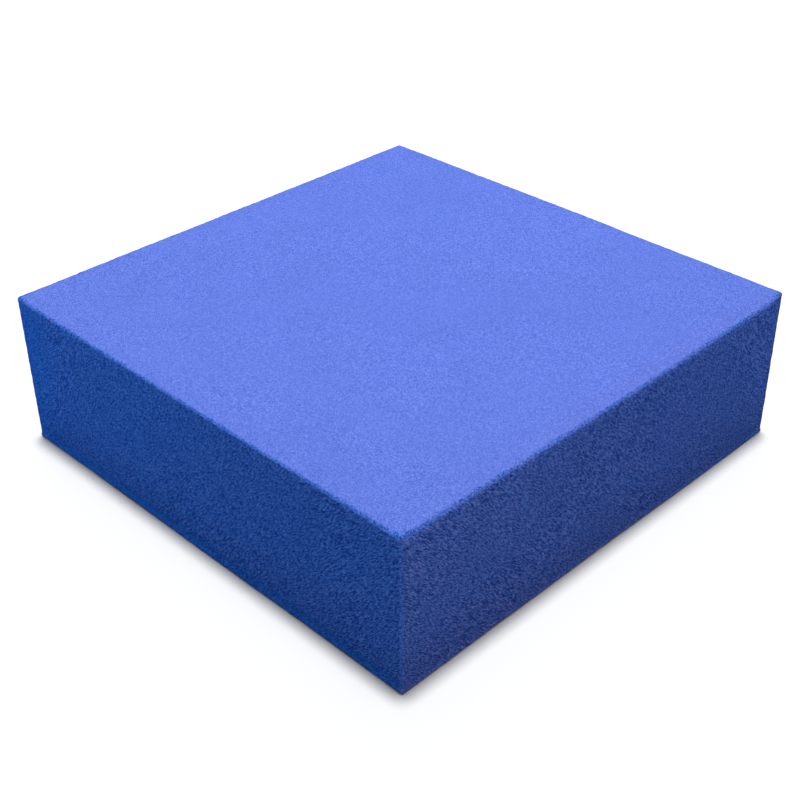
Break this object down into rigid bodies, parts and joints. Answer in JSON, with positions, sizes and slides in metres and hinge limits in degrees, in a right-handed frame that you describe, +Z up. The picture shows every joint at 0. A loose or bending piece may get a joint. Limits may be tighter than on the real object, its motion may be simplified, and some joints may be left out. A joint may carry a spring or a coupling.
{
  "type": "foam balance pad",
  "caption": "Thick square block of bare blue open-cell foam, a soft unstable surface to stand on for balance tests and balance training.",
  "frame": {"origin": "centre of the underside, where the pad rests on the floor", "axes": "+Z up through the pad's thickness; +X and +Y along the two equal sides of the square"},
  "size_m": [0.457, 0.457, 0.14],
  "materials": {
    "foam": "sawn open-cell polyurethane foam, matte"
  },
  "bodies": {
    "root": {"foam_block": "foam"}
  },
  "joints": []
}
